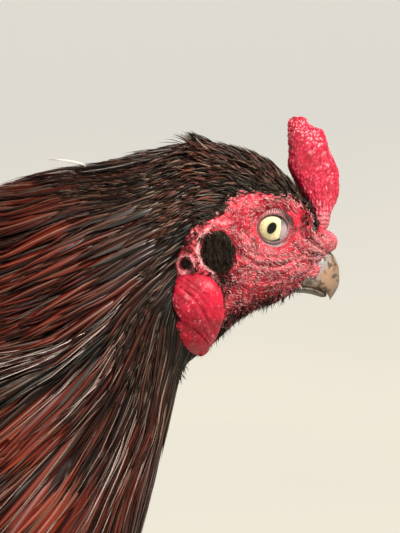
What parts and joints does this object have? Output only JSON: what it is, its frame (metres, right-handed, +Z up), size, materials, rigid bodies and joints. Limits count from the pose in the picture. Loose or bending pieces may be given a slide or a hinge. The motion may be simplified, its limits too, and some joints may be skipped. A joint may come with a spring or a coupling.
{
  "type": "aseel chicken",
  "caption": "Standing game cock at life size: upright neck with long hackle, bare red face, upright comb, hooked beak, short wings, drooping tail and strong scaled legs.",
  "frame": {"origin": "on the floor, under the middle of the bird's box", "axes": "+X the way the bird faces, +Y its left side, +Z up"},
  "size_m": [0.4827, 0.195, 0.5586],
  "materials": {
    "skin": "bare pimpled red skin, soft sheen",
    "comb": "grainy red comb and lobe skin",
    "horn": "horn, smooth",
    "iris": "wet gloss",
    "hackle": "glossy dark mahogany feathers",
    "black": "glossy green-black feathers",
    "wing": "dark bay feathers",
    "leg": "scaled, dull",
    "claw": "horn, smooth"
  },
  "bodies": {
    "root": {"head": "skin", "beak_upper": "horn", "beak_lower": "horn", "comb": "comb", "earlobe_left": "comb", "earlobe_right": "comb", "eye_left": "iris", "eye_right": "iris", "neck": "hackle", "torso": "black", "wing_left": "wing", "wing_right": "wing", "tail": "black", "thigh_left": "black", "thigh_right": "black", "shank_left": "leg", "shank_right": "leg", "spur_left": "claw", "spur_right": "claw", "foot_left": "leg", "foot_right": "leg", "claw_inner_left": "claw", "claw_middle_left": "claw", "claw_outer_left": "claw", "claw_hind_left": "claw", "claw_inner_right": "claw", "claw_middle_right": "claw", "claw_outer_right": "claw", "claw_hind_right": "claw"}
  },
  "joints": []
}
